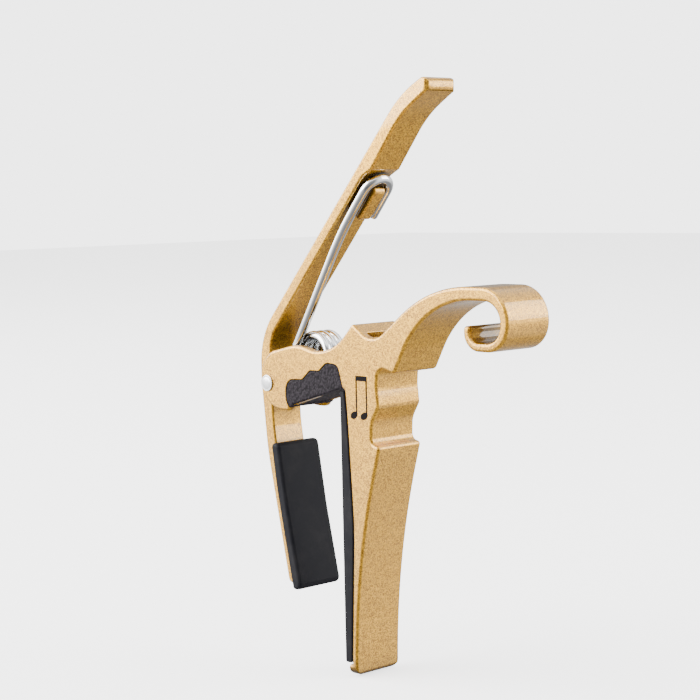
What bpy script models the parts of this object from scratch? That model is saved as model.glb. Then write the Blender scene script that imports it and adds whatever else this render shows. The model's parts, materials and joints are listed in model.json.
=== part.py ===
"""Spring clamp capo: a cast body with a string arm and a finger hook, and a sprung lever.

Frame: +X out of the string face, Y across the castings, +Z up along the string arm.
The origin is the middle of the string pad's contact face. Outlines are given in
millimetres, as x and the height above the pivot axis.
"""
import math

import bmesh
import bpy
from mathutils import Vector

MM = 0.001

# Driving dimensions, in millimetres
BODY_WIDTH = 13.0
CHANNEL_WIDTH = 9.6
LEVER_WIDTH = 8.8
BODY_EDGE = 0.6
LEVER_EDGE = 0.55
PAD_TOP = -0.35
PAD_BOTTOM = -60.2
PAD_WIDTH = 12.6
PAD_EDGE = 0.3
PIVOT_X = -23.7
PIVOT_Z = -(PAD_TOP + PAD_BOTTOM) / 2
PIVOT_BORE = 1.6
RIVET_RADIUS = 1.5
RIVET_HEAD_RADIUS = 1.85
RIVET_HEAD_HEIGHT = 0.5
SEAT_GAP = 0.25
CUT_REACH = 2.0
CROOK_WALL = 1.7
CROOK_EDGE = 0.4
WIRE = 2.0
COIL_X, COIL_H = -12.6, 6.2
COIL_RADIUS = 4.8
COIL_TURNS = 3
COIL_PITCH = 2.08
LEG_ANGLE = math.radians(58.65)
TAIL_ANGLE = math.radians(12.0)
TAIL_LENGTH = 14.0
TAIL_SLOT_SIDE = 2.2
HOOK_ANGLE = math.radians(50.0)
HOOK_HALF = 3.45
HOOK_APEX = (8.2, 45.3)
HOOK_RETURN = 7.2
LUG_WIDTH = 3.2
LUG_EDGE = 0.4
HANDLE_ANGLE = math.radians(48.5)
HANDLE_FOOT = (6.2, 49.3)
NECK_PAD_WIDTH = 12.6
NECK_PAD_EDGE = 0.8

ARC_ERROR = 0.03
SMOOTH_ANGLE = math.radians(40)

COLOURS = {
    "gold_paint": ((0.62, 0.43, 0.2), 0.35, 0.6),
    "bright_steel": ((0.82, 0.83, 0.85), 0.15, 1.0),
    "black_rubber": ((0.02, 0.02, 0.022), 0.75, 0.0),
    "grey_rubber": ((0.06, 0.055, 0.06), 0.85, 0.0),
}


def clear_scene():
    for item in list(bpy.data.objects):
        bpy.data.objects.remove(item)


def material(name):
    colour, roughness, metallic = COLOURS[name]
    made = bpy.data.materials.get(name) or bpy.data.materials.new(name)
    made.use_nodes = True
    shader = made.node_tree.nodes["Principled BSDF"]
    shader.inputs["Base Color"].default_value = (*colour, 1.0)
    shader.inputs["Roughness"].default_value = roughness
    shader.inputs["Metallic"].default_value = metallic
    return made


# ---- outlines ----

def rounded(corners):
    """A closed outline through corners (x, height, fillet radius), each fillet an arc."""
    points = []
    count = len(corners)
    for i, (x, h, radius) in enumerate(corners):
        here = Vector((x, h))
        back = (Vector(corners[i - 1][:2]) - here).normalized()
        ahead = (Vector(corners[(i + 1) % count][:2]) - here).normalized()
        turn = math.pi - back.angle(ahead)
        if radius <= 0 or turn < 1e-4:
            points.append(here)
            continue
        reach = radius * math.tan(turn / 2)
        centre = here + (back + ahead).normalized() * (radius / math.cos(turn / 2))
        start = here + back * reach - centre
        side = 1 if back.y * ahead.x > back.x * ahead.y else -1
        step = 2 * math.acos(max(0.0, 1 - ARC_ERROR / radius))
        pieces = max(2, math.ceil(turn / step))
        for k in range(pieces + 1):
            a = side * turn * k / pieces
            points.append(centre + Vector((
                start.x * math.cos(a) - start.y * math.sin(a),
                start.x * math.sin(a) + start.y * math.cos(a))))
    return points


def grown(points, amount):
    """The outline moved outwards by amount along its own normals; points run anticlockwise."""
    moved = []
    count = len(points)
    for i, here in enumerate(points):
        before = (here - points[i - 1]).normalized()
        after = (points[(i + 1) % count] - here).normalized()
        normal = Vector((before.y + after.y, -before.x - after.x))
        stretch = 1 + before.dot(after)
        moved.append(here + normal * (amount / stretch))
    return moved


def handle_point(along, out):
    """A point given along the handle's straight back and outwards from it."""
    c, s = math.cos(HANDLE_ANGLE), math.sin(HANDLE_ANGLE)
    return HANDLE_FOOT[0] + along * c + out * s, HANDLE_FOOT[1] + along * s - out * c


BODY_OUTLINE = [
    (1.1, -62.8, 0.8), (3.8, -62.8, 1.0),                       # arm tip with its inward lip
    (4.3, -38.5, 165.0), (12.2, -11.5, 0.8),                    # outer face of the string arm
    (9.7, -11.2, 1.5), (9.9, -6.6, 5.0), (12.1, -3.0, 1.6),     # lower finger groove
    (11.6, 1.0, 6.0), (12.0, 5.6, 1.6), (17.0, 4.3, 0.8),       # upper groove under the step
    (26.0, 20.4, 22.0), (46.9, 20.4, 4.4), (46.9, 12.1, 3.7),   # arch and inside of the hook
    (38.8, 11.9, 2.2), (38.8, 15.3, 0.75), (37.1, 15.3, 0.75),  # hook tip
    (37.1, 10.2, 3.8), (49.1, 10.2, 5.8), (49.1, 23.2, 7.0),    # outside of the hook
    (27.4, 23.2, 32.0), (10.5, 10.4, 5.3), (4.5, 14.6, 0.9),    # arch top, saddle and horn
    (-2.0, 8.05, 12.5), (-8.3, 8.05, 6.0), (-13.8, 9.3, 12.0),  # wavy top of the cheeks
    (-26.0, 6.5, 6.1), (-26.0, -5.95, 6.8),                     # lobe round the pivot
    (-17.0, -5.9, 1.3), (-15.6, -4.5, 0.9), (1.6, 0.6, 0.9),    # under the crook
    (2.2, -6.0, 60.0), (3.6, -30.0, 90.0), (2.2, -60.3, 0.5),   # recess behind the string pad
    (1.1, -60.5, 0.75),
]
CROOK_OUTLINE = [
    (-16.4, -5.5, 0.6), (-15.5, -4.3, 0.9), (1.15, 0.45, 0.6),  # underside
    (-0.3, 5.3, 1.8), (-4.0, 5.6, 2.0), (-6.5, 3.6, 1.3),       # scalloped top
    (-9.4, 3.6, 1.5),
    (-12.0, 1.4, 1.4), (-17.3, 1.2, 2.4), (-17.6, -3.4, 4.0),
]
CHANNEL_OUTLINE = [(-32.0, -14.0), (-3.4, -14.0), (-3.4, 16.0), (-32.0, 16.0)]
CROOK_TROUGH = [(-20.0, -3.0), (-16.0, -2.9), (-12.6, -1.6), (-9.5, -0.9), (0.2, 1.7),
                (3.0, 12.0), (-20.0, 12.0)]
POCKET_OUTLINE = [(6.6, 10.3), (13.6, 10.3), (13.6, 16.0), (6.6, 16.0)]
TAIL_SLOT = [(-1.6, 2.2), (2.9, 3.15), (2.9, 5.95), (-1.6, 5.0)]


def lever_outline():
    """Neck jaw, pivot eye, scooped handle band and the bent finger end."""
    return [
        (-20.6, -45.4, 1.2), (-17.5, -46.4, 1.2),                          # jaw tip
        (-22.1, -25.0, 60.0), (-24.6, -9.0, 30.0), (-24.7, -4.5, 1.0),     # jaw inner face
        (-19.2, -4.5, 4.2), (-19.2, 4.5, 4.2), (-24.9, 4.5, 1.0),          # pivot eye
        (-24.9, 10.1, 8.0),
        (*handle_point(-2.4, 2.5), 3.0), (*handle_point(0.5, 3.65), 0.7),  # band and scoop
        (18.2, 58.3, 25.0), (26.3, 63.2, 1.2), (26.3, 66.7, 1.55),          # finger end
        (18.0, 62.65, 28.0), (-28.55, 10.4, 17.0),                         # back of the handle
        (-28.55, 0.0, 40.0), (-26.9, -16.0, 60.0),                         # back of the jaw
    ]


def lug_outline():
    """The post that the spring hook wraps, standing out of the scoop."""
    return [(*handle_point(-12.3, 1.6), 0), (*handle_point(-12.3, 5.7), 0.9),
            (*handle_point(-3.7, 5.7), 1.2), (*handle_point(-3.7, 1.6), 0)]


NECK_PAD_OUTLINE = [
    (-17.2, -46.7, 0.9), (-14.4, -46.3, 1.3), (-18.3, -29.0, 55.0), (-21.0, -13.6, 1.2),
    (-23.6, -13.8, 0.9), (-21.85, -25.0, 60.0),
]
STRING_PAD_OUTLINE = [
    (0.0, PAD_BOTTOM, 0.5), (1.95, PAD_BOTTOM + 0.15, 0.4), (3.35, -30.0, 90.0), (1.95, -6.0, 60.0),
    (1.3, PAD_TOP, 0.4), (0.0, PAD_TOP, 0.4),
]


def lifted(points):
    """Outline points with heights measured from the pivot, as metres in the part's frame."""
    return [Vector((p[0] * MM, (p[1] + PIVOT_Z) * MM)) for p in points]


# ---- solids ----

def add_object(name, mesh, finish=None):
    made = bpy.data.objects.new(name, mesh)
    bpy.context.scene.collection.objects.link(made)
    if finish:
        mesh.materials.append(material(finish))
    return made


def mesh_from(name, vertices, faces):
    mesh = bpy.data.meshes.new(name)
    mesh.from_pydata(vertices, [], faces)
    mesh.shade_smooth()
    mesh.set_sharp_from_angle(angle=SMOOTH_ANGLE)
    return mesh


def prism(name, points, low, high, edge=0.0, steps=3):
    """The outline carried across Y from low to high, its two rims rounded over by edge."""
    sections = [(low, 0.0), (high, 0.0)]
    if edge:
        quarter = [k * math.pi / 2 / steps for k in range(steps + 1)]
        rim = [(edge * (1 - math.sin(a)), edge * (1 - math.cos(a))) for a in quarter[::-1]]
        sections = [(low + across, -inset) for across, inset in rim]
        sections += [(high - across, -inset) for across, inset in rim[::-1]]
    vertices = []
    for y, amount in sections:
        ring = grown(points, amount) if amount else points
        vertices += [(p.x, y * MM, p.y) for p in lifted(ring)]
    n = len(points)
    faces = [tuple(range(n)), tuple(range(len(sections) * n - 1, (len(sections) - 1) * n - 1, -1))]
    for s in range(len(sections) - 1):
        for i in range(n):
            j = (i + 1) % n
            faces.append((s * n + j, s * n + i, (s + 1) * n + i, (s + 1) * n + j))
    return mesh_from(name, vertices, faces)


def cutter(name, mesh):
    made = add_object(name, mesh)
    made.hide_render = True
    made.display_type = "WIRE"
    return made


def combine(target, other, operation):
    change = target.modifiers.new(other.name, "BOOLEAN")
    change.operation = operation
    change.solver = "EXACT"
    change.object = other


def turned(name, profile, sides=24):
    """A profile of (y, radius) revolved about the pivot axis, closed by a point at each end."""
    vertices, rings = [], []
    for y, radius in profile:
        around = range(sides) if radius else range(1)
        rings.append([len(vertices) + k for k in around])
        for k in around:
            a = 2 * math.pi * k / sides
            vertices.append(((PIVOT_X + radius * math.cos(a)) * MM, y * MM,
                             (PIVOT_Z + radius * math.sin(a)) * MM))
    faces = []
    for first, second in zip(rings, rings[1:]):
        for k in range(sides):
            a, b = first[k % len(first)], first[(k + 1) % len(first)]
            c, d = second[(k + 1) % len(second)], second[k % len(second)]
            faces.append(tuple(dict.fromkeys((b, a, d, c))))
    return mesh_from(name, vertices, faces)


def pivot_pin(name, radius, reach):
    return turned(name, [(-reach, 0.0), (-reach, radius), (reach, radius), (reach, 0.0)])


def straight(outline):
    """The same points with no fillets."""
    return [Vector(p) for p in outline]


def hang(child, hinge):
    """Parents a piece to the hinge and leaves it where it is."""
    child.parent = hinge
    child.matrix_parent_inverse = hinge.matrix_world.inverted()


def make_body():
    """Cheeks, arch, finger hook and string arm as one casting."""
    half = BODY_WIDTH / 2
    mesh = prism("body_frame", rounded(BODY_OUTLINE), -half, half, BODY_EDGE)
    body = add_object("body_frame", mesh, "gold_paint")
    gap = CHANNEL_WIDTH / 2
    seat = grown(rounded(CROOK_OUTLINE), SEAT_GAP)
    cuts = [
        ("cut_channel", prism("cut_channel", straight(CHANNEL_OUTLINE), -gap, gap)),
        ("cut_crook", prism("cut_crook", seat, -half - CUT_REACH, half + CUT_REACH)),
        ("cut_pocket", prism("cut_pocket", straight(POCKET_OUTLINE), -gap, gap)),
        ("cut_tail_slot", prism("cut_tail_slot", straight(TAIL_SLOT), TAIL_SLOT_SIDE, gap - 0.05)),
        ("cut_cheek_bore", pivot_pin("cut_cheek_bore", PIVOT_BORE, half + CUT_REACH)),
    ]
    for name, cut in cuts:
        combine(body, cutter(name, cut), "DIFFERENCE")


def make_lever(hinge):
    """Handle, pivot eye and neck jaw as one casting, with the spring lug."""
    half = LEVER_WIDTH / 2
    mesh = prism("spring_lever", rounded(lever_outline()), -half, half, LEVER_EDGE)
    lever = add_object("spring_lever", mesh, "gold_paint")
    lug = prism("add_lug", rounded(lug_outline()), -LUG_WIDTH / 2, LUG_WIDTH / 2, LUG_EDGE)
    combine(lever, cutter("add_lug", lug), "UNION")
    bore = pivot_pin("cut_eye_bore", PIVOT_BORE, half + CUT_REACH)
    combine(lever, cutter("cut_eye_bore", bore), "DIFFERENCE")
    hang(lever, hinge)
    return lever


def make_rivet():
    """A shank with a domed head on each cheek, turned about the pivot axis."""
    face = BODY_WIDTH / 2 + SEAT_GAP
    dome = (RIVET_HEAD_RADIUS ** 2 + RIVET_HEAD_HEIGHT ** 2) / (2 * RIVET_HEAD_HEIGHT)
    spread = math.asin(RIVET_HEAD_RADIUS / dome)
    cap = [(face + RIVET_HEAD_HEIGHT - dome * (1 - math.cos(a)), dome * math.sin(a))
           for a in (spread * k / 5 for k in range(1, 6))]
    side = [(face + RIVET_HEAD_HEIGHT, 0.0), *cap, (face, RIVET_HEAD_RADIUS - 0.1),
            (face, RIVET_RADIUS)]
    profile = [(-y, r) for y, r in side] + side[::-1]
    return add_object("pivot_rivet", turned("pivot_rivet", profile), "bright_steel")


def wire_path():
    """Tail, coil, leg, hook round the lug and the short return, as points (x, y, height)."""
    leg_start = LEG_ANGLE + math.pi / 2
    tail_start = TAIL_ANGLE - math.pi / 2 + 2 * math.pi * (COIL_TURNS + 1)
    width = COIL_PITCH * (tail_start - leg_start) / (2 * math.pi)
    side = width / 2

    def on_coil(angle):
        share = (angle - leg_start) / (tail_start - leg_start)
        return (COIL_X + COIL_RADIUS * math.cos(angle), -side + width * share,
                COIL_H + COIL_RADIUS * math.sin(angle))

    steps = 18 * COIL_TURNS + 8
    coil = [on_coil(leg_start + (tail_start - leg_start) * k / steps) for k in range(steps + 1)]
    end = coil[-1]
    tail = (end[0] + TAIL_LENGTH * math.cos(TAIL_ANGLE), end[1],
            end[2] + TAIL_LENGTH * math.sin(TAIL_ANGLE))
    c, s = math.cos(HOOK_ANGLE), math.sin(HOOK_ANGLE)
    middle = (HOOK_APEX[0] - HOOK_HALF * c, HOOK_APEX[1] - HOOK_HALF * s)
    hook = []
    for k in range(9):
        a = math.pi * k / 8
        reach = HOOK_HALF * math.sin(a)
        hook.append((middle[0] + reach * c, -HOOK_HALF * math.cos(a), middle[1] + reach * s))
    back = (middle[0] - HOOK_RETURN * c, HOOK_HALF, middle[1] - HOOK_RETURN * s)
    return [back] + hook[::-1] + leg_bend(coil[0], hook[0]) + coil + [tail]


def leg_bend(foot, top):
    """The slight bend where the straight leg turns into the plane of the hook."""
    lc, ls = math.cos(LEG_ANGLE), math.sin(LEG_ANGLE)
    hc, hs = math.cos(HOOK_ANGLE), math.sin(HOOK_ANGLE)
    dx, dh = top[0] - foot[0], top[2] - foot[2]
    along = (dx * hs - dh * hc) / (lc * hs - ls * hc)
    corner = Vector((foot[0] + along * lc, (foot[1] + top[1]) / 2, foot[2] + along * ls))
    low, high = corner.lerp(Vector(foot), 0.2), corner.lerp(Vector(top), 0.5)
    curve = [high.lerp(corner, t).lerp(corner.lerp(low, t), t) for t in (0, 0.33, 0.67, 1)]
    return [tuple(p) for p in curve]


def make_spring():
    """A torsion spring bent from one length of round wire."""
    curve = bpy.data.curves.new("torsion_spring", "CURVE")
    curve.dimensions = "3D"
    curve.bevel_depth = WIRE / 2 * MM
    curve.bevel_resolution = 2
    curve.use_fill_caps = True
    path = wire_path()
    spline = curve.splines.new("POLY")
    spline.points.add(len(path) - 1)
    for point, (x, y, h) in zip(spline.points, path):
        point.co = (x * MM, y * MM, (h + PIVOT_Z) * MM, 1)
    return add_object("torsion_spring", curve, "bright_steel")


def make_pads(hinge):
    """The rubber along the string arm, in the crook and on the neck jaw."""
    half = PAD_WIDTH / 2
    add_object("string_pad", prism("string_pad", rounded(STRING_PAD_OUTLINE), -half, half, PAD_EDGE),
               "black_rubber")
    side = BODY_WIDTH / 2
    crook = prism("crook_pad", rounded(CROOK_OUTLINE), -side, side, CROOK_EDGE)
    crook = add_object("crook_pad", crook, "grey_rubber")
    trough = side - CROOK_WALL
    cut = prism("cut_trough", straight(CROOK_TROUGH), -trough, trough)
    combine(crook, cutter("cut_trough", cut), "DIFFERENCE")
    half = NECK_PAD_WIDTH / 2
    neck = prism("neck_pad", rounded(NECK_PAD_OUTLINE), -half, half, NECK_PAD_EDGE)
    hang(add_object("neck_pad", neck, "black_rubber"), hinge)


def make_hinge():
    """The empty on the pivot axis that carries the lever and its pad."""
    hinge = bpy.data.objects.new("lever_pivot", None)
    hinge.location = (PIVOT_X * MM, 0, PIVOT_Z * MM)
    bpy.context.scene.collection.objects.link(hinge)
    bpy.context.view_layer.update()
    return hinge


def build():
    clear_scene()
    make_body()
    make_rivet()
    make_spring()
    hinge = make_hinge()
    make_lever(hinge)
    make_pads(hinge)


build()
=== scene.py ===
import json
import math

import bmesh
import bpy
import numpy as np
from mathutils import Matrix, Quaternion, Vector

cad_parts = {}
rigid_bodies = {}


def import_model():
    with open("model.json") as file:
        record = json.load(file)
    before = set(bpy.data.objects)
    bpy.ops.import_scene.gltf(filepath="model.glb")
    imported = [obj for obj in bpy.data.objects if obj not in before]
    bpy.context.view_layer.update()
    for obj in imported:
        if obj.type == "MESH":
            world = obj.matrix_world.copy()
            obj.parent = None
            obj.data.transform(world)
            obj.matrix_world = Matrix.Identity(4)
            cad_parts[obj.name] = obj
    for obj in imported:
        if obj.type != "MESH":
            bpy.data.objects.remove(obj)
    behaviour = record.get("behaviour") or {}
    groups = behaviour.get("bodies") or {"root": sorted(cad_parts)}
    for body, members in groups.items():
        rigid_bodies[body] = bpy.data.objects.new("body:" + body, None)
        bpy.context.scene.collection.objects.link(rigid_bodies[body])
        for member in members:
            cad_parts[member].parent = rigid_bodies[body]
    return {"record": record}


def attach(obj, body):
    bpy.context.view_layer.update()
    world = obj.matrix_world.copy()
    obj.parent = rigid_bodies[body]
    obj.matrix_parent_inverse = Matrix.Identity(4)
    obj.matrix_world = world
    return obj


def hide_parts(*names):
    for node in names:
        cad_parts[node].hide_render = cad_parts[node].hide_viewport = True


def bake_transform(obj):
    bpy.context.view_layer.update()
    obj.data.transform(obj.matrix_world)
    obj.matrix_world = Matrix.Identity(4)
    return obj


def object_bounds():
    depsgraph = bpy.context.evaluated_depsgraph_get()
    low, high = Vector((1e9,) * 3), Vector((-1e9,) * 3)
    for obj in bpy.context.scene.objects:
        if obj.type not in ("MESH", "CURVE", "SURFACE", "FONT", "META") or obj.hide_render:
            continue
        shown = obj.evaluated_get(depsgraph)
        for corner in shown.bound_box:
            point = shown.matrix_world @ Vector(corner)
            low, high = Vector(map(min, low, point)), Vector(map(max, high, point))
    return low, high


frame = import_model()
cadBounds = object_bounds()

# Lengths are in millimetres until a mesh is made. Outlines are (x, height above the pivot, fillet radius).
hinge = frame["record"]["behaviour"]["joints"][0]
pivotX, _, pivotZ = (1000 * value for value in hinge["pos_m"])
bodyName, leverName = hinge["parent"], hinge["child"]


# Each corner becomes the arc that touches both of its sides: it starts and ends radius * tan(turn / 2) along
# them, and has enough pieces to stay within error of the true arc.
def filletOutline(corners, error=0.004):
    table = np.array(corners, float)
    here, radii = table[:, :2], table[:, 2]
    back = np.roll(here, 1, 0) - here
    ahead = np.roll(here, -1, 0) - here
    back /= np.linalg.norm(back, axis=1)[:, None]
    ahead /= np.linalg.norm(ahead, axis=1)[:, None]
    turns = math.pi - np.arccos(np.clip((back * ahead).sum(1), -1, 1))
    runs = []
    for corner, radius, b, a, turn in zip(here, radii, back, ahead, turns):
        if radius <= 0 or turn < 1e-4:
            runs.append(corner[None])
            continue
        centre = corner + (a + b) / np.linalg.norm(a + b) * radius / math.cos(turn / 2)
        start = corner + b * radius * math.tan(turn / 2) - centre
        side = 1 if b[1] * a[0] > b[0] * a[1] else -1
        pieces = max(3, math.ceil(turn / (2 * math.acos(1 - error / radius))))
        angle = side * turn * np.linspace(0, 1, pieces + 1)
        runs.append(centre + np.stack([start[0] * np.cos(angle) - start[1] * np.sin(angle),
                                       start[0] * np.sin(angle) + start[1] * np.cos(angle)], 1))
    return np.concatenate(runs)


# Every point moves along the sum of its two sides' normals, stretched so that the sides stay parallel.
def offsetOutline(outline, amount):
    before = outline - np.roll(outline, 1, 0)
    before /= np.linalg.norm(before, axis=1)[:, None]
    after = np.roll(before, -1, 0)
    normal = np.stack([before[:, 1] + after[:, 1], -before[:, 0] - after[:, 0]], 1)
    return outline + normal * (amount / (1 + (before * after).sum(1)))[:, None]


# A closed skin over rings of points, shape (rings, points, 3), with a flat cap on the first and last ring.
def skin(name, rings, uv=None):
    rows, columns = rings.shape[:2]
    index = np.arange(rows * columns).reshape(rows, columns)
    around = np.roll(index, -1, 1)
    quads = np.stack([index[:-1], around[:-1], around[1:], index[1:]], -1).reshape(-1, 4)
    faces = quads.tolist() + [index[0, ::-1].tolist(), index[-1].tolist()]
    mesh = bpy.data.meshes.new(name)
    mesh.from_pydata((rings.reshape(-1, 3) * 0.001).tolist(), [], faces)
    if uv is not None:
        layer = mesh.uv_layers.new(name="wireMap")
        step = np.array([[0, 0], [0, 1], [1, 1], [1, 0]])
        row, column = np.divmod(np.arange((rows - 1) * columns), columns)
        corner = np.stack([row, column], -1)[:, None] + step
        values = np.stack([uv[corner[..., 0]], corner[..., 1] / columns], -1).reshape(-1, 2)
        values = np.concatenate([values, np.zeros((2 * columns, 2))])
        layer.data.foreach_set("uv", values.astype(np.float32).ravel())
    solid = bmesh.new()
    solid.from_mesh(mesh)
    if solid.calc_volume(signed=True) < 0:
        bmesh.ops.reverse_faces(solid, faces=solid.faces)
    solid.to_mesh(mesh)
    solid.free()
    mesh.shade_smooth()
    return mesh


# The outline carried across from low to high; each rim is a quarter circle of radius edge. A point there is
# the outline's first number, the distance across and its second number; axes picks x, y and z from them.
def slab(name, outline, low, high, edge=0.0, rimSteps=6, axes=(0, 1, 2)):
    angle = np.linspace(0, math.pi / 2, rimSteps + 1) if edge else np.zeros(1)
    across = low + edge * (1 - np.sin(angle[::-1]))
    inset = edge * (1 - np.cos(angle[::-1]))
    across = np.concatenate([across, low + high - across[::-1]])
    inset = np.concatenate([inset, inset[::-1]])
    rings = []
    for y, amount in zip(across, inset):
        ring = offsetOutline(outline, -amount)
        rings.append(np.stack([ring[:, 0], np.full(len(ring), y), ring[:, 1]], 1))
    return skin(name, np.stack(rings)[:, :, axes] + (0, 0, pivotZ))


# What lies outside a quarter circle that touches both sides of a corner, carried from low to high.
def cornerCut(name, corner, inward, radius, low, high, axes):
    corner, inward = np.array(corner), np.array(inward)
    angle = np.linspace(0, math.pi / 2, 13)
    centre, out = corner + inward * radius, corner - inward
    arc = centre - inward * radius * np.stack([np.cos(angle), np.sin(angle)], 1)
    outline = np.concatenate([arc, [(centre[0], out[1]), out, (out[0], centre[1])]])
    return slab(name, outline, low, high, axes=axes)


# A profile of (y, radius) turned about the pivot axis; a radius near nothing closes the end.
def turned(name, profile, sides=64):
    profile = np.array(profile, float)
    angle = np.linspace(0, 2 * math.pi, sides, endpoint=False)
    radius = np.maximum(profile[:, 1:], 0.01)
    rings = np.stack([pivotX + radius * np.cos(angle), np.broadcast_to(profile[:, :1], (len(profile), sides)),
                      pivotZ + radius * np.sin(angle)], -1)
    return skin(name, rings)


# A round pin on the pivot axis, out to reach on both sides.
def rod(name, radius, reach):
    return turned(name, [(-reach, radius), (reach, radius)])


# An outline whose corners all stay sharp.
def sharp(points):
    return np.array(points, float)


# The base mesh with the others cut from it or joined to it, worked out here and kept as one plain mesh.
def carved(name, base, changes, soften):
    solid = bpy.data.objects.new(name, base)
    bpy.context.scene.collection.objects.link(solid)
    tools = []
    for operation, mesh in changes:
        tool = bpy.data.objects.new(mesh.name, mesh)
        bpy.context.scene.collection.objects.link(tool)
        tools.append(tool)
        change = solid.modifiers.new(mesh.name, "BOOLEAN")
        change.operation, change.solver, change.object = operation, "EXACT", tool
    if soften:
        bevel = solid.modifiers.new("soften", "BEVEL")
        bevel.limit_method, bevel.angle_limit = "ANGLE", math.radians(38)
        bevel.width, bevel.segments, bevel.use_clamp_overlap = soften * 0.001, 3, False
    seen = solid.evaluated_get(bpy.context.evaluated_depsgraph_get())
    mesh = bpy.data.meshes.new_from_object(seen)
    mesh.name = name
    for item in [solid] + tools:
        bpy.data.objects.remove(item)
    return mesh


# The finished piece: flat faces keep their own direction, so that only the rims catch a gradient.
def piece(name, mesh, finish, body, replaced=()):
    made = bpy.data.objects.new(name, mesh)
    bpy.context.scene.collection.objects.link(made)
    mesh.materials.clear()
    mesh.materials.append(finish)
    mesh.shade_smooth()
    mesh.set_sharp_from_angle(angle=math.radians(50))
    weigh = made.modifiers.new("flatFaces", "WEIGHTED_NORMAL")
    weigh.weight, weigh.keep_sharp = 100, True
    if body:
        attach(made, body)
    if replaced:
        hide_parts(*replaced)
    return made


# One output of a node in a tree. Arithmetic on it adds Math nodes there.
class Wire:
    def __init__(self, nodes, socket):
        self.nodes, self.socket = nodes, socket

    def join(self, operation, *values):
        return self.nodes.math(operation, self, *values)

    def __add__(self, other):
        return self.join("ADD", other)

    def __sub__(self, other):
        return self.join("SUBTRACT", other)

    def __rsub__(self, other):
        return self.nodes.math("SUBTRACT", other, self)

    def __mul__(self, other):
        return self.join("MULTIPLY", other)

    def __pow__(self, other):
        return self.join("POWER", other)

    __radd__ = __add__
    __rmul__ = __mul__

    # 0 at low, 1 at high and an S curve between them.
    def steps(self, low, high):
        return self.nodes.add("ShaderNodeMapRange", {"interpolation_type": "SMOOTHSTEP"},
                              {"Value": self, "From Min": low, "From Max": high})["Result"]


# A node tree that nodes are added to by type, settings and sockets.
class Nodes:
    def __init__(self, tree):
        self.tree = tree

    def feed(self, node, values):
        for key, value in values.items():
            if isinstance(key, int):
                socket = node.inputs[key]
            else:
                socket = next(s for s in node.inputs if s.name == key and s.enabled)
            if isinstance(value, Wire):
                self.tree.links.new(value.socket, socket)
            elif isinstance(value, tuple) and len(value) == 3 and socket.type == "RGBA":
                socket.default_value = (*value, 1)
            else:
                socket.default_value = value

    def add(self, kind, settings=None, sockets=None):
        node = self.tree.nodes.new(kind)
        for key, value in (settings or {}).items():
            setattr(node, key, value)
        self.feed(node, sockets or {})
        return {output.name: Wire(self, output) for output in node.outputs if output.enabled}

    def math(self, operation, *values):
        return self.add("ShaderNodeMath", {"operation": operation}, dict(enumerate(values)))["Value"]

    def mix(self, factor, first, second):
        return self.add("ShaderNodeMix", {"data_type": "RGBA"},
                        {"Factor": factor, "A": first, "B": second})["Result"]


# A material: the fixed values go straight onto the surface shader's sockets. Sizes are in millimetres.
class Finish(Nodes):
    def __init__(self, name, fixed):
        self.material = bpy.data.materials.new(name)
        self.material.use_nodes = True
        super().__init__(self.material.node_tree)
        self.surface = self.tree.nodes["Principled BSDF"]
        self.feed(self.surface, fixed)
        self.place = self.add("ShaderNodeTexCoord")["Object"]

    def noise(self, size, detail=3.0, rough=0.5):
        return self.add("ShaderNodeTexNoise", {}, {"Vector": self.place, "Scale": 1000 / size,
                                                   "Detail": detail, "Roughness": rough})["Fac"]

    def cells(self, size, feature="F1"):
        return self.add("ShaderNodeTexVoronoi", {"feature": feature},
                        {"Vector": self.place, "Scale": 1000 / size})

    def parts(self, colour):
        return self.add("ShaderNodeSeparateColor", {}, {"Color": colour})

    # How shut in each point is, from 0 in the open (high) to 1 in a hollow (low).
    def shutIn(self, reach, low, high):
        openness = self.add("ShaderNodeAmbientOcclusion", {"samples": 8}, {"Distance": reach / 1000})["AO"]
        return 1 - openness.steps(low, high)

    def bump(self, height, depth, strength):
        return self.add("ShaderNodeBump", {}, {"Height": height, "Distance": depth * 0.001,
                                               "Strength": strength})["Normal"]

    def wear(self, sockets):
        self.feed(self.surface, sockets)
        return self.material


paint = {
    "deep": (0.17, 0.060, 0.002),     # between the flakes
    "pale": (1.00, 0.540, 0.040),     # the brightest flakes
    "warm": (0.64, 0.315, 0.020),     # slow drift of the colour
    "hollowShade": (0.030, 0.016, 0.001),   # painted shade: dark colour laid into the hollows
    "hollow": 10.0,                   # how far off a wall still shuts a hollow in
    "film": 0.95,                     # how much of the colour the painted shade covers
    "flake": 0.23, "fineFlake": 0.45,  # flake size, and the fine flakes' share of it
    "drift": 9.0, "driftShare": 0.2,
    "roughness": 0.38, "roughSpread": 0.16,
    "metal": 0.85, "coat": 1.0, "coatRoughness": 0.045, "coatIor": 1.5,
    "relief": 0.02, "reliefStrength": 0.6,
}
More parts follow.
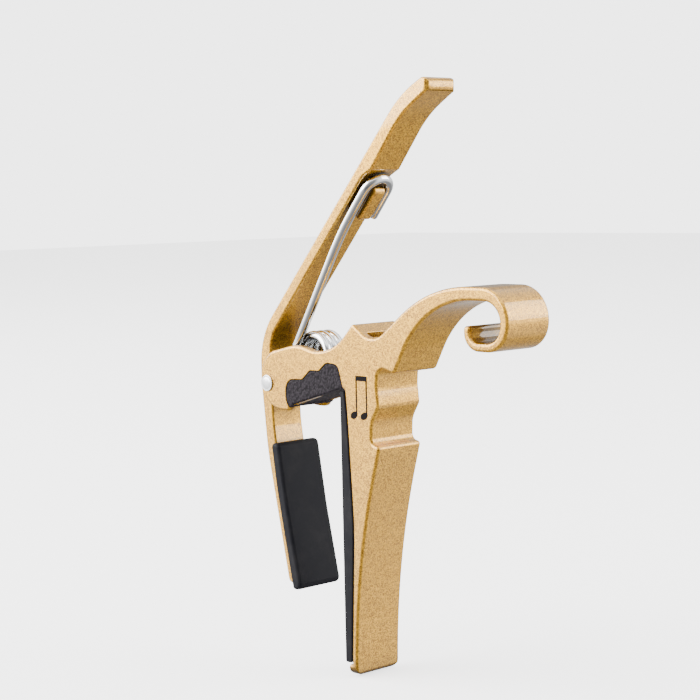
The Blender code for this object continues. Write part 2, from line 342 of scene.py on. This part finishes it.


# Random cells of mixed brightness and tilt stand for the flakes, in two sizes, under a smooth clear coat,
# with painted shade in the hollows.
def goldPaint():
    finish = Finish("goldPaint", {"Coat Weight": paint["coat"], "Coat Roughness": paint["coatRoughness"],
                                  "Coat IOR": paint["coatIor"], "Metallic": paint["metal"]})
    flakes = finish.parts(finish.cells(paint["flake"])["Color"])
    fine = finish.parts(finish.cells(paint["flake"] * paint["fineFlake"])["Color"])
    drift = finish.noise(paint["drift"], 2.0)
    base = finish.mix(flakes["Red"] * 0.8 + fine["Green"] * 0.2, paint["deep"], paint["pale"])
    base = finish.mix(drift.steps(0.3, 0.7) * paint["driftShare"], base, paint["warm"])
    # Painted shade: the paint darkens to near black where ambient occlusion finds it shut in.
    film = finish.shutIn(paint["hollow"], 0.15, 0.85) * paint["film"]
    base = finish.mix(film, base, paint["hollowShade"])
    rough = paint["roughness"] + (flakes["Green"] - 0.5) * paint["roughSpread"]
    height = flakes["Red"] * 0.6 + fine["Blue"] * 0.4
    bump = finish.bump(height, paint["relief"], paint["reliefStrength"])
    return finish.wear({"Base Color": base, "Roughness": rough, "Normal": bump})


steel = {
    "colour": (0.93, 0.94, 0.95), "shade": (0.74, 0.75, 0.77),
    "coilShade": (0.010, 0.010, 0.012),     # painted shade: near black inside the coil
    "hollow": 5.0, "film": 0.95,
    "drawn": (0.12, 40.0, 1.0),       # drawn lines: stretched along the wire, fine round it
    "wireRough": 0.10, "rivetRough": 0.2,
    "marks": 52.0,                    # turning marks, radians for each millimetre of radius
}


# Plated wire: faint lines drawn along it, with a little dulling in patches and painted shade where the coil
# shuts it in.
def drawnSteel():
    finish = Finish("drawnSteel", {"Metallic": 1.0})
    wireMap = finish.add("ShaderNodeUVMap", {"uv_map": "wireMap"})["UV"]
    drawn = finish.add("ShaderNodeMapping", {}, {"Vector": wireMap, "Scale": steel["drawn"]})["Vector"]
    lines = finish.add("ShaderNodeTexNoise", {}, {"Vector": drawn, "Scale": 1.0, "Detail": 2.0})["Fac"]
    dull = finish.noise(3.0)
    worn = lines.steps(0.35, 0.8) * 0.35 + dull.steps(0.45, 0.75) * 0.3
    base = finish.mix(worn, steel["colour"], steel["shade"])
    # Painted shade: near black inside the coil and between its turns, where ambient occlusion finds the wire
    # shut in.
    base = finish.mix(finish.shutIn(steel["hollow"], 0.05, 0.5) * steel["film"], base, steel["coilShade"])
    rough = steel["wireRough"] + lines * 0.05 + dull.steps(0.5, 0.8) * 0.06
    return finish.wear({"Base Color": base, "Roughness": rough, "Normal": finish.bump(lines, 0.005, 0.1)})


# Rivet metal: fine turning marks round the pivot axis and small dents.
def turnedSteel():
    finish = Finish("turnedSteel", {"Metallic": 1.0})
    centre = finish.add("ShaderNodeVectorMath", {"operation": "SUBTRACT"},
                        {0: finish.place, 1: (pivotX / 1000, 0, pivotZ / 1000)})["Vector"]
    axes = finish.add("ShaderNodeSeparateXYZ", {}, {"Vector": centre})
    radius = (axes["X"] ** 2.0 + axes["Z"] ** 2.0) ** 0.5
    marks = finish.math("SINE", radius * (1000 * steel["marks"])) * 0.5 + 0.5
    spots = finish.noise(0.7)
    base = finish.mix(spots.steps(0.45, 0.75) * 0.45, steel["colour"], steel["shade"])
    rough = steel["rivetRough"] + spots * 0.12
    bump = finish.bump(marks * 0.4 + spots, 0.02, 0.3)
    return finish.wear({"Base Color": base, "Roughness": rough, "Normal": bump})


rubber = {
    "black": (0.004, 0.004, 0.006), "dust": (0.014, 0.013, 0.014),
    "crook": (0.004, 0.003, 0.004), "crookTop": (0.018, 0.014, 0.018),      # grooves and tops of the pebbles
    "pebble": 0.46, "pebbleDepth": 0.12,
    "cloud": 6.0, "grain": 0.35,
    "specular": 0.12, "crookSpecular": 0.1,
}


# Moulded rubber: near black, with soft cloudy wear and a faint grain.
def smoothRubber():
    finish = Finish("smoothRubber", {"Specular IOR Level": rubber["specular"]})
    cloud = finish.noise(rubber["cloud"], 4.0, 0.6)
    grain = finish.noise(rubber["grain"], 2.0)
    base = finish.mix(cloud.steps(0.4, 0.75) * 0.6, rubber["black"], rubber["dust"])
    rough = 0.5 + cloud * 0.2
    return finish.wear({"Base Color": base, "Roughness": rough, "Normal": finish.bump(grain, 0.02, 0.4)})


# Pebbled rubber: round cells stand up from dark grooves, with a fine grain on top.
def pebbledRubber():
    finish = Finish("pebbledRubber", {"Specular IOR Level": rubber["crookSpecular"]})
    patch = finish.noise(2.2, 2.0)
    cells = finish.cells(rubber["pebble"], "SMOOTH_F1")
    dome = 1 - cells["Distance"].steps(0.1, 0.75)
    grain = finish.noise(0.18, 2.0)
    base = finish.mix(dome * 0.8 + patch * 0.2, rubber["crook"], rubber["crookTop"])
    rough = 0.72 - dome * 0.16
    bump = finish.bump(dome + grain * 0.15, rubber["pebbleDepth"], 0.8)
    return finish.wear({"Base Color": base, "Roughness": rough, "Normal": bump})


ink = {"black": (0.004, 0.003, 0.003), "thin": (0.020, 0.014, 0.008), "speck": 0.25, "specular": 0.05}


# Printed ink: near black, thinner in specks where the paint grins through.
def printInk():
    finish = Finish("printInk", {"Specular IOR Level": ink["specular"]})
    speck = finish.noise(ink["speck"])
    base = finish.mix(speck.steps(0.55, 0.8) * 0.5, ink["black"], ink["thin"])
    return finish.wear({"Base Color": base, "Roughness": 0.5 + speck * 0.2})


goldFinish, wireFinish, rivetFinish = goldPaint(), drawnSteel(), turnedSteel()
smoothFinish, pebbleFinish, inkFinish = smoothRubber(), pebbledRubber(), printInk()
print("finishes made")


body = {
    "half": 6.5, "edge": 0.7, "soften": 0.16,       # half width, rims, edges where a cut comes out
    "channel": 4.8, "bore": 1.62, "seatGap": 0.07,  # half the spring's space, pivot, room round the rubber
    "tipRound": 2.3, "tipSpan": (0.5, 6.0),         # arm tip's corners across the width
    "past": 2.0,                                    # how far a cut runs past the sides
    "outline": [
        (1.1, -62.8, 0.8), (3.8, -62.8, 1.0),                       # arm tip with its inward lip
        (4.3, -38.5, 165.0), (12.2, -11.5, 0.8),                    # outer face of the string arm
        (9.7, -11.2, 1.5), (9.9, -6.6, 5.0), (12.1, -3.0, 1.6),     # lower finger groove
        (11.6, 1.0, 6.0), (12.0, 5.6, 1.9), (17.0, 4.3, 1.2),       # upper groove under the step
        (26.0, 20.4, 22.0), (46.9, 20.4, 4.4), (46.9, 12.1, 3.7),   # arch and inside of the hook
        (38.8, 11.9, 2.2), (38.8, 15.3, 0.75), (37.1, 15.3, 0.75),  # hook tip
        (37.1, 10.2, 3.8), (49.1, 10.2, 5.8), (49.1, 23.2, 7.0),    # outside of the hook
        (27.4, 23.2, 32.0), (10.5, 10.4, 5.3), (4.5, 14.6, 0.9),    # arch top, saddle and horn
        (-2.0, 8.05, 12.5), (-8.3, 8.05, 6.0), (-13.8, 9.3, 12.0),  # wavy top of the cheeks
        (-26.0, 6.5, 6.1), (-26.0, -5.95, 6.8),                     # lobe round the pivot
        (-17.0, -5.9, 1.3), (-15.6, -4.5, 0.9), (1.6, 0.6, 0.9),    # under the crook
        (2.2, -6.0, 60.0), (3.6, -30.0, 90.0), (2.2, -60.3, 0.5),   # recess behind the string pad
        (1.1, -60.5, 0.75),
    ],
    "channelCut": [(-32.0, -14.0), (-3.4, -14.0), (-3.4, 16.0), (-32.0, 16.0)],
    "pocket": [(7.2, 11.3), (9.4, 10.3), (13.6, 10.3), (13.6, 16.0), (7.2, 16.0)],
    "tailSlot": [(-1.6, 2.2), (2.9, 3.15), (2.9, 5.95), (-1.6, 5.0)], "tailAcross": (2.2, 4.75),
}
crook = {
    "half": 6.5, "edge": 0.4, "wall": 1.7, "soften": 0.15,
    "outline": [
        (-16.4, -5.5, 0.6), (-15.5, -4.3, 0.9), (1.15, 0.45, 0.6),  # underside
        (-0.3, 5.3, 1.8), (-4.0, 5.6, 2.0), (-6.5, 3.6, 1.3),       # scalloped top
        (-9.4, 3.6, 1.5), (-12.0, 1.4, 1.4), (-17.3, 1.2, 2.4), (-17.6, -3.4, 4.0),
    ],
    "trough": [
        (-20.0, -3.0), (-16.0, -2.9), (-12.6, -1.6), (-9.5, -0.9), (0.2, 1.7), (3.0, 12.0), (-20.0, 12.0),
    ],
}


# Arm, arch, hook and cheeks are one outline; the channel, the rubber's seat and the rest are cut from it.
def makeBody():
    gap, past = body["channel"], body["half"] + body["past"]
    seat = offsetOutline(filletOutline(crook["outline"]), body["seatGap"])
    cuts = [
        ("DIFFERENCE", slab("channelCut", sharp(body["channelCut"]), -gap, gap)),
        ("DIFFERENCE", slab("seatCut", seat, -past, past)),
        ("DIFFERENCE", slab("pocketCut", sharp(body["pocket"]), -gap, gap)),
        ("DIFFERENCE", slab("tailCut", sharp(body["tailSlot"]), *body["tailAcross"])),
        ("DIFFERENCE", rod("boreCut", body["bore"], past)),
    ]
    foot = min(height for _, height, _ in body["outline"])
    for side in (-1, 1):
        corner = cornerCut(f"tipCut{side}", (side * body["half"], foot), (-side, 1), body["tipRound"],
                           *body["tipSpan"], (1, 0, 2))
        cuts.append(("DIFFERENCE", corner))
    base = slab("bodyCasting", filletOutline(body["outline"]), -body["half"], body["half"], body["edge"])
    mesh = carved("bodyCasting", base, cuts, body["soften"])
    return piece("bodyCasting", mesh, goldFinish, bodyName, ["body_frame"])


lever = {
    "half": 4.4, "edge": 0.55, "soften": 0.14, "bore": 1.62, "past": 2.0,
    "slope": 48.5, "foot": (6.2, 49.3),             # the handle's straight back in degrees, and a point on it
    "lugHalf": 1.6, "lugEdge": 0.4,
    "endRound": 1.4, "endSpan": (60.0, 70.0),       # corners of the finger end, across the width
}


# A point given along the handle's straight back, from its foot, and outwards from it.
def onHandle(along, out):
    c, s = math.cos(math.radians(lever["slope"])), math.sin(math.radians(lever["slope"]))
    return lever["foot"][0] + along * c + out * s, lever["foot"][1] + along * s - out * c


lever["outline"] = [
    (-20.6, -45.4, 1.2), (-17.5, -46.4, 1.2),                          # jaw tip
    (-22.1, -25.0, 60.0), (-24.6, -9.0, 30.0), (-24.7, -4.5, 1.0),     # jaw inner face
    (-19.2, -4.5, 4.2), (-19.2, 4.5, 4.2), (-24.9, 4.5, 1.0),          # pivot eye
    (-24.9, 10.1, 8.0), (*onHandle(-2.4, 2.5), 3.0), (*onHandle(0.5, 3.65), 0.7),  # band and scoop
    (18.2, 58.3, 25.0), (26.3, 63.2, 1.2), (26.3, 66.69, 1.55),        # finger end
    (18.0, 62.65, 28.0), (-28.55, 10.4, 17.0), (-28.55, 0.0, 40.0), (-26.9, -16.0, 60.0),  # back
]
lever["lug"] = [
    (*onHandle(-12.3, 1.6), 0), (*onHandle(-12.3, 5.7), 0.9),
    (*onHandle(-3.7, 5.7), 1.2), (*onHandle(-3.7, 1.6), 0),
]


# Handle, eye and jaw are one outline, with the lug added on the handle's inner side.
def makeLever():
    half, lugHalf = lever["half"], lever["lugHalf"]
    changes = [
        ("UNION", slab("lug", filletOutline(lever["lug"]), -lugHalf, lugHalf, lever["lugEdge"])),
        ("DIFFERENCE", rod("eyeCut", lever["bore"], half + lever["past"])),
    ]
    end = max(x for x, _, _ in lever["outline"])
    for side in (-1, 1):
        corner = cornerCut(f"endCut{side}", (end, side * half), (-1, -side), lever["endRound"],
                           *lever["endSpan"], (0, 2, 1))
        changes.append(("DIFFERENCE", corner))
    base = slab("leverCasting", filletOutline(lever["outline"]), -half, half, lever["edge"])
    mesh = carved("leverCasting", base, changes, lever["soften"])
    return piece("leverCasting", mesh, goldFinish, leverName, ["spring_lever"])


stringPad = {"half": 6.3, "edge": 0.3, "top": -0.35, "bottom": -60.2}
neckPad = {
    "half": 6.3, "edge": 0.8,
    "outline": [
        (-17.2, -46.7, 0.9), (-14.4, -46.3, 1.3), (-18.3, -29.0, 55.0), (-21.0, -13.6, 1.2),
        (-23.6, -13.8, 0.9), (-21.85, -25.0, 60.0),
    ],
}


# The three pads. The crook's rubber has a trough cut in it for the coil to lie in.
def makeRubber():
    top, bottom = stringPad["top"], stringPad["bottom"]
    strip = [(0.0, bottom, 0.5), (1.95, bottom + 0.15, 0.4), (3.35, -30.0, 90.0), (1.95, -6.0, 60.0),
             (1.3, top, 0.4), (0.0, top, 0.4)]
    half = stringPad["half"]
    mesh = slab("stringRubber", filletOutline(strip), -half, half, stringPad["edge"])
    piece("stringRubber", mesh, smoothFinish, bodyName, ["string_pad"])
    half, inside = crook["half"], crook["half"] - crook["wall"]
    cut = slab("troughCut", sharp(crook["trough"]), -inside, inside)
    base = slab("crookRubber", filletOutline(crook["outline"]), -half, half, crook["edge"])
    mesh = carved("crookRubber", base, [("DIFFERENCE", cut)], crook["soften"])
    piece("crookRubber", mesh, pebbleFinish, bodyName, ["crook_pad"])
    half = neckPad["half"]
    mesh = slab("neckRubber", filletOutline(neckPad["outline"]), -half, half, neckPad["edge"])
    piece("neckRubber", mesh, smoothFinish, leverName, ["neck_pad"])


spring = {
    "wire": 1.0, "sides": 28, "endRound": 0.12,         # the wire's radius, and how far its ends narrow
    "centre": (-12.6, 6.2), "radius": 4.8, "turns": 3, "pitch": 2.08,
    "leg": 58.65, "tail": 12.0, "tailLength": 14.0,     # slopes of the leg and the tail in degrees
    "hook": 50.0, "hookHalf": 3.45, "apex": (8.2, 45.3), "hookReturn": 7.2,
    "bend": (0.2, 0.5),                                 # shares of the leg and the hook taken by their bend
    "step": 0.35,                                       # spacing of the rings along the wire
    "blendLean": 20.0, "blendReach": 12.0,
}


# Return, hook round the lug, leg, coil and tail. The hook is a half circle in its own sloping plane, the bend
# a quadratic curve, and the coil a helix whose y grows with the angle.
def springPath():
    leg, tail, hook = (math.radians(spring[key]) for key in ("leg", "tail", "hook"))
    legStart = leg + math.pi / 2
    tailStart = tail - math.pi / 2 + 2 * math.pi * (spring["turns"] + 1)
    width = spring["pitch"] * (tailStart - legStart) / (2 * math.pi)
    angle = np.linspace(legStart, tailStart, 420)
    cx, ch = spring["centre"]
    coil = np.stack([cx + spring["radius"] * np.cos(angle),
                     width * ((angle - legStart) / (tailStart - legStart) - 0.5),
                     ch + spring["radius"] * np.sin(angle)], 1)
    end = coil[-1] + spring["tailLength"] * np.array([math.cos(tail), 0, math.sin(tail)])
    half = spring["hookHalf"]
    along = np.array([math.cos(hook), 0, math.sin(hook)])
    middle = np.array([spring["apex"][0], 0, spring["apex"][1]]) - half * along
    turn = np.linspace(math.pi, 0, 60)[:, None]
    loop = middle + half * np.sin(turn) * along - half * np.cos(turn) * np.array([0, 1, 0])
    back = loop[0] - spring["hookReturn"] * along
    foot, top = coil[0], loop[-1]
    legWay = np.array([math.cos(leg), 0, math.sin(leg)])
    reach = np.cross(top - foot, along)[1] / np.cross(legWay, along)[1]
    corner = foot + legWay * reach
    corner[1] = (foot[1] + top[1]) / 2
    low = corner + (foot - corner) * spring["bend"][0]
    high = corner + (top - corner) * spring["bend"][1]
    t = np.linspace(0, 1, 40)[:, None]
    bend = (1 - t) ** 2 * high + 2 * t * (1 - t) * corner + t ** 2 * low
    path = np.concatenate([back[None], loop, bend, coil, end[None]])
    length = np.concatenate([[0], np.cumsum(np.linalg.norm(np.diff(path, axis=0), axis=1))])
    at = np.linspace(0, length[-1], int(length[-1] / spring["step"]))
    path = np.stack([np.interp(at, length, path[:, k]) for k in range(3)], 1)
    return path, at, along


# Each ring is path + radius * (cos * first + sin * second). The second direction is the hook plane's normal
# in the hook, and across the wire in the coil's plane elsewhere, so the rings never twist.
def makeSpring():
    path, at, along = springPath()
    way = np.gradient(path, axis=0)
    way /= np.linalg.norm(way, axis=1)[:, None]
    hookNormal = np.array([along[2], 0, -along[0]])
    inHook = (at < spring["hookReturn"] + math.pi * spring["hookHalf"])[:, None]
    second = np.where(inHook, hookNormal, np.cross(way, np.array([0.0, 1.0, 0.0])))
    second -= way * (second * way).sum(1)[:, None]
    second /= np.linalg.norm(second, axis=1)[:, None]
    first = np.cross(second, way)
    angle = np.linspace(0, 2 * math.pi, spring["sides"], endpoint=False)
    radius = np.full(len(path), spring["wire"])
    radius[[0, -1]] -= spring["endRound"]
    ring = np.cos(angle)[None, :, None] * first[:, None] + np.sin(angle)[None, :, None] * second[:, None]
    rings = path[:, None] + radius[:, None, None] * ring + np.array([0, 0, pivotZ])
    mesh = skin("springWire", rings, at)
    made = piece("springWire", mesh, wireFinish, None)
    # The heights where the leg leaves the coil and a point along its lean are worked out here but not used.
    leg, lean = math.radians(spring["leg"]), math.radians(spring["leg"] + spring["blendLean"])
    footZ = spring["centre"][1] + spring["radius"] * math.cos(leg) + pivotZ
    endZ = footZ + spring["blendReach"] * math.sin(lean)
    footZ / 1000
    endZ / 1000
    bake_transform(made)
    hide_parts("torsion_spring")


rivet = {
    "shank": 1.5, "head": 1.85, "side": 0.22, "rim": 0.14,
    "gap": 0.01, "under": 0.1,                      # clear of the casting, and the chamfer under the head
    "groove": 1.42, "depth": 0.08,                  # radius and depth of the groove inside the rim
    "middle": 1.22, "dome": 0.1, "fullness": 0.8,   # radius and height of the dome, and how its slope spreads
}


# Each head is a short cylinder, a quarter-round rim, a shallow groove and a dome with a flattened middle.
def makeRivet():
    face = body["half"] + rivet["gap"]
    quarter = np.linspace(0, math.pi / 2, 7)
    inner = rivet["head"] - rivet["rim"]
    rimTop = face + rivet["side"] + rivet["rim"]
    rim = np.stack([rimTop - rivet["rim"] * (1 - np.sin(quarter)), inner + rivet["rim"] * np.cos(quarter)], 1)
    share = np.linspace(0, 1, 12)[1:]
    groove = [(rimTop - rivet["depth"], rivet["groove"]), (rimTop, rivet["middle"])]
    dome = np.stack([rimTop + rivet["dome"] * np.sin(share * math.pi / 2),
                     rivet["middle"] * (1 - share) ** rivet["fullness"]], 1)
    shank, head, under = rivet["shank"], rivet["head"], rivet["under"]
    start = [(face, shank), (face, head - under), (face + under, head)]
    side = np.concatenate([start, rim, groove, dome])
    profile = np.concatenate([side[::-1] * (-1, 1), side])
    piece("rivetHeads", turned("rivetHeads", profile), rivetFinish, bodyName, ["pivot_rivet"])


note = {
    "place": (4.7, -5.2), "head": (1.15, 0.78), "tilt": 25.0, "stem": 8.6, "line": 0.45, "beam": 1.1,
    "gap": 3.1, "stemShare": 0.93,      # between the heads, and how far out on its head a stem's edge stands
    "proud": 0.015, "sunk": 0.01,       # out of the casting's side and into it
}


# A beamed pair of eighth notes: each head an ellipse, each stem and the beam a thin plate.
def makeNote():
    angle = np.linspace(0, 2 * math.pi, 48, endpoint=False)
    tilt = math.radians(note["tilt"])
    wide, tall = note["head"]
    head = np.stack([wide * np.cos(angle) * math.cos(tilt) - tall * np.sin(angle) * math.sin(tilt),
                     wide * np.cos(angle) * math.sin(tilt) + tall * np.sin(angle) * math.cos(tilt)], 1)
    stemEdge, top = wide * note["stemShare"], note["stem"]
    shapes = []
    for step in (0.0, note["gap"]):
        shapes.append(head + (step, 0))
        left, right = step + stemEdge - note["line"], step + stemEdge
        shapes.append(sharp([(left, 0), (right, 0), (right, top), (left, top)]))
    left, right, low = stemEdge - note["line"], stemEdge + note["gap"], top - note["beam"]
    shapes.append(sharp([(left, low), (right, low), (right, top), (left, top)]))
    face = -body["half"]
    plates = []
    for k, shape in enumerate(shapes):
        plates.append(slab(f"notePlate{k}", shape + note["place"], face - note["proud"], face + note["sunk"]))
    mesh = carved("noteMark", plates[0], [("UNION", plate) for plate in plates[1:]], 0)
    piece("noteMark", mesh, inkFinish, bodyName, ())


makeBody()
print("body casting made")
makeNote()
print("printed note made")
makeLever()
print("lever casting made")
makeRubber()
print("rubber made")
makeSpring()
print("spring made")
makeRivet()
print("rivet made")


# The studio is in metres.
studio = {
    "floorDrop": 0.0004, "floorSize": 6.0, "floorTone": (0.80, 0.80, 0.80), "floorGlow": 2.1,
    "skyStrength": 1.4, "groundStrength": 0.75, "horizon": (-0.1, -0.06), "backdropStrength": 4.0,
    "deepStrength": 0.3, "fade": (-0.75, -0.25),
    "eye": (0.28247, -0.26711, 0.07273), "target": (-0.00197, -0.00104, 0.03842), "roll": -1.285,
    "lens": 91.73, "film": 36.0,
}
# name: direction, cosines of its edge and its full part, strength, add or dim
panels = {
    "frontLeft": ((-0.73, -0.68, 0.05), (0.80, 0.96), 1.5, "add"),
    "backRight": ((0.73, 0.68, -0.22), (0.75, 0.95), 0.6, "add"),
    "frontRight": ((0.72, -0.69, 0.05), (0.55, 0.90), 0.22, "dim"),
    "backLeft": ((-0.66, 0.69, 0.25), (0.90, 0.98), 0.3, "dim"),
}
# name: place, target, width, height, power
lamps = {
    "keyBox": ((-0.74, -0.79, 0.62), (0, 0, 0.03), 1.5, 1.1, 48.0),
    "rightBox": ((0.50, 0.50, 0.31), (0.02, 0, 0.05), 0.5, 0.5, 5.0),
    "topBox": ((0.0, 0.0, 1.6), (0.0, 0, 0.0), 2.5, 2.5, 20.0),
}


def makeStudio():
    low = cadBounds[0][2] - studio["floorDrop"]
    size = studio["floorSize"] / 2
    mesh = bpy.data.meshes.new("floor")
    corners = [(-size, -size, low), (size, -size, low), (size, size, low), (-size, size, low)]
    mesh.from_pydata(corners, [], [(0, 1, 2, 3)])
    floor = bpy.data.objects.new("floor", mesh)
    bpy.context.scene.collection.objects.link(floor)
    plain = Finish("paleFloor", {"Roughness": 0.8, "Specular IOR Level": 0.1,
                                 "Emission Color": (1.0, 1.0, 1.0), "Emission Strength": studio["floorGlow"]})
    mesh.materials.append(plain.wear({"Base Color": studio["floorTone"]}))
    floor.visible_glossy = False      # the paint mirrors the dark ground instead
    for name, (place, target, width, height, power) in lamps.items():
        light = bpy.data.lights.new(name, "AREA")
        light.shape, light.size, light.size_y, light.energy = "RECTANGLE", width, height, power
        lamp = bpy.data.objects.new(name, light)
        lamp.location = place
        lamp.rotation_euler = (Vector(target) - Vector(place)).to_track_quat("-Z", "Y").to_euler()
        lamp.visible_camera = False
        bpy.context.scene.collection.objects.link(lamp)
    makeAir()


# The room as the gloss mirrors it: pale above the horizon, fading towards the ground, with soft panels.
def makeAir():
    world = bpy.data.worlds.new("studioAir")
    world.use_nodes = True
    air = Nodes(world.node_tree)
    way = air.add("ShaderNodeTexCoord")["Generated"]        # in a world this is the direction looked in
    rise = air.add("ShaderNodeSeparateXYZ", {}, {"Vector": way})["Z"]
    deep, middle, sky = studio["deepStrength"], studio["groundStrength"], studio["skyStrength"]
    level = deep + rise.steps(*studio["fade"]) * (middle - deep)
    level = level + rise.steps(*studio["horizon"]) * (sky - middle)
    for centre, (outer, inner), strength, kind in panels.values():
        toward = air.add("ShaderNodeVectorMath", {"operation": "DOT_PRODUCT"},
                         {0: way, 1: Vector(centre).normalized()})["Value"]
        part = toward.steps(outer, inner)
        level = level * (1 - part * (1 - strength)) if kind == "dim" else level + part * strength
    seen = air.add("ShaderNodeLightPath")["Is Camera Ray"]
    shown = level * (1 - seen) + seen * studio["backdropStrength"]
    air.feed(world.node_tree.nodes["Background"], {"Color": (1.0, 1.0, 1.0), "Strength": shown})
    bpy.context.scene.world = world


def makeCamera():
    lens = bpy.data.cameras.new("view")
    lens.lens, lens.sensor_width = studio["lens"], studio["film"]
    lens.clip_start, lens.clip_end = 0.01, 20.0
    camera = bpy.data.objects.new("view", lens)
    eye, target = Vector(studio["eye"]), Vector(studio["target"])
    aim = (target - eye).to_track_quat("-Z", "Y") @ Quaternion((0, 0, 1), math.radians(studio["roll"]))
    camera.location, camera.rotation_euler = eye, aim.to_euler()
    bpy.context.scene.collection.objects.link(camera)
    bpy.context.scene.camera = camera


makeStudio()
makeCamera()
print("studio made")

bpy.context.view_layer.update()
